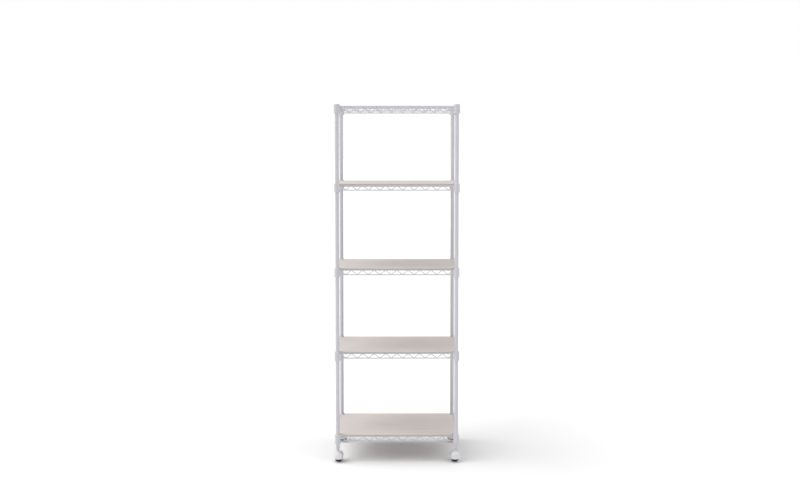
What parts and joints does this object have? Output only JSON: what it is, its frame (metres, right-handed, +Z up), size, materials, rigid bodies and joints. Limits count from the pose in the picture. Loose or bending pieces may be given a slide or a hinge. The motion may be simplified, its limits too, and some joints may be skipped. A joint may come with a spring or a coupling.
{
  "type": "wire shelving rack",
  "caption": "Tall white wire shelving rack on swivelling twin-wheel casters: zig-zag edged wire shelves wedged on round posts, with loose flat boards.",
  "frame": {"origin": "on the floor under the middle of the rack's box, between the four casters", "axes": "+Z up along the posts, +X to the right seen from the front, +Y to the back"},
  "size_m": [0.6188, 0.3526, 1.7418],
  "materials": {
    "powder_coat": "semi-gloss white powder coat",
    "white_plastic": "satin moulded white plastic",
    "board": "greige faced board, fine grain, matte",
    "tyre": "dark grey tyre, matte",
    "steel": "plated steel, satin"
  },
  "bodies": {
    "rack_frame": {"lower_post_front_left": "powder_coat", "upper_post_front_left": "powder_coat", "post_cap_front_left": "white_plastic", "caster_stem_front_left": "steel", "lower_post_front_right": "powder_coat", "upper_post_front_right": "powder_coat", "post_cap_front_right": "white_plastic", "caster_stem_front_right": "steel", "lower_post_back_left": "powder_coat", "upper_post_back_left": "powder_coat", "post_cap_back_left": "white_plastic", "caster_stem_back_left": "steel", "lower_post_back_right": "powder_coat", "upper_post_back_right": "powder_coat", "post_cap_back_right": "white_plastic", "caster_stem_back_right": "steel", "shelf_1": "powder_coat", "sleeve_1_front_left": "white_plastic", "sleeve_1_front_right": "white_plastic", "sleeve_1_back_left": "white_plastic", "sleeve_1_back_right": "white_plastic", "shelf_2": "powder_coat", "sleeve_2_front_left": "white_plastic", "sleeve_2_front_right": "white_plastic", "sleeve_2_back_left": "white_plastic", "sleeve_2_back_right": "white_plastic", "shelf_3": "powder_coat", "sleeve_3_front_left": "white_plastic", "sleeve_3_front_right": "white_plastic", "sleeve_3_back_left": "white_plastic", "sleeve_3_back_right": "white_plastic", "shelf_4": "powder_coat", "sleeve_4_front_left": "white_plastic", "sleeve_4_front_right": "white_plastic", "sleeve_4_back_left": "white_plastic", "sleeve_4_back_right": "white_plastic", "shelf_5": "powder_coat", "sleeve_5_front_left": "white_plastic", "sleeve_5_front_right": "white_plastic", "sleeve_5_back_left": "white_plastic", "sleeve_5_back_right": "white_plastic"},
    "board_1": {"board_1": "board"},
    "board_2": {"board_2": "board"},
    "board_3": {"board_3": "board"},
    "board_4": {"board_4": "board"},
    "caster_front_left": {"caster_hood_front_left": "white_plastic"},
    "wheel_front_left_left": {"caster_wheel_front_left_left": "tyre"},
    "wheel_front_left_right": {"caster_wheel_front_left_right": "tyre"},
    "caster_front_right": {"caster_hood_front_right": "white_plastic"},
    "wheel_front_right_left": {"caster_wheel_front_right_left": "tyre"},
    "wheel_front_right_right": {"caster_wheel_front_right_right": "tyre"},
    "caster_back_left": {"caster_hood_back_left": "white_plastic"},
    "wheel_back_left_left": {"caster_wheel_back_left_left": "tyre"},
    "wheel_back_left_right": {"caster_wheel_back_left_right": "tyre"},
    "caster_back_right": {"caster_hood_back_right": "white_plastic"},
    "wheel_back_right_left": {"caster_wheel_back_right_left": "tyre"},
    "wheel_back_right_right": {"caster_wheel_back_right_right": "tyre"}
  },
  "joints": [
    {"name": "board_1_lift", "type": "slide", "parent": "rack_frame", "child": "board_1", "axis": [0, 0, 1], "range_m": [0, 0.3]},
    {"name": "board_2_lift", "type": "slide", "parent": "rack_frame", "child": "board_2", "axis": [0, 0, 1], "range_m": [0, 0.3]},
    {"name": "board_3_lift", "type": "slide", "parent": "rack_frame", "child": "board_3", "axis": [0, 0, 1], "range_m": [0, 0.3]},
    {"name": "board_4_lift", "type": "slide", "parent": "rack_frame", "child": "board_4", "axis": [0, 0, 1], "range_m": [0, 0.3]},
    {"name": "caster_front_left_swivel", "type": "hinge", "parent": "rack_frame", "child": "caster_front_left", "pos_m": [-0.2875, -0.16, 0.05], "axis": [0, 0, 1], "continuous": true},
    {"name": "wheel_front_left_left_spin", "type": "hinge", "parent": "caster_front_left", "child": "wheel_front_left_left", "pos_m": [-0.29675, -0.1385, 0.025], "axis": [-0.9903, 0.1392, 0], "continuous": true},
    {"name": "wheel_front_left_right_spin", "type": "hinge", "parent": "caster_front_left", "child": "wheel_front_left_right", "pos_m": [-0.27269, -0.14189, 0.025], "axis": [-0.9903, 0.1392, 0], "continuous": true},
    {"name": "caster_front_right_swivel", "type": "hinge", "parent": "rack_frame", "child": "caster_front_right", "pos_m": [0.2875, -0.16, 0.05], "axis": [0, 0, 1], "continuous": true},
    {"name": "wheel_front_right_left_spin", "type": "hinge", "parent": "caster_front_right", "child": "wheel_front_right_left", "pos_m": [0.27059, -0.14383, 0.025], "axis": [-0.9659, -0.2588, 0], "continuous": true},
    {"name": "wheel_front_right_right_spin", "type": "hinge", "parent": "caster_front_right", "child": "wheel_front_right_right", "pos_m": [0.29406, -0.13754, 0.025], "axis": [-0.9659, -0.2588, 0], "continuous": true},
    {"name": "caster_back_left_swivel", "type": "hinge", "parent": "rack_frame", "child": "caster_back_left", "pos_m": [-0.2875, 0.16, 0.05], "axis": [0, 0, 1], "continuous": true},
    {"name": "wheel_back_left_left_spin", "type": "hinge", "parent": "caster_back_left", "child": "wheel_back_left_left", "pos_m": [-0.27059, 0.14383, 0.025], "axis": [0.9659, 0.2588, 0], "continuous": true},
    {"name": "wheel_back_left_right_spin", "type": "hinge", "parent": "caster_back_left", "child": "wheel_back_left_right", "pos_m": [-0.29406, 0.13754, 0.025], "axis": [0.9659, 0.2588, 0], "continuous": true},
    {"name": "caster_back_right_swivel", "type": "hinge", "parent": "rack_frame", "child": "caster_back_right", "pos_m": [0.2875, 0.16, 0.05], "axis": [0, 0, 1], "continuous": true},
    {"name": "wheel_back_right_left_spin", "type": "hinge", "parent": "caster_back_right", "child": "wheel_back_right_left", "pos_m": [0.29675, 0.1385, 0.025], "axis": [0.9903, -0.1392, 0], "continuous": true},
    {"name": "wheel_back_right_right_spin", "type": "hinge", "parent": "caster_back_right", "child": "wheel_back_right_right", "pos_m": [0.27269, 0.14189, 0.025], "axis": [0.9903, -0.1392, 0], "continuous": true}
  ]
}
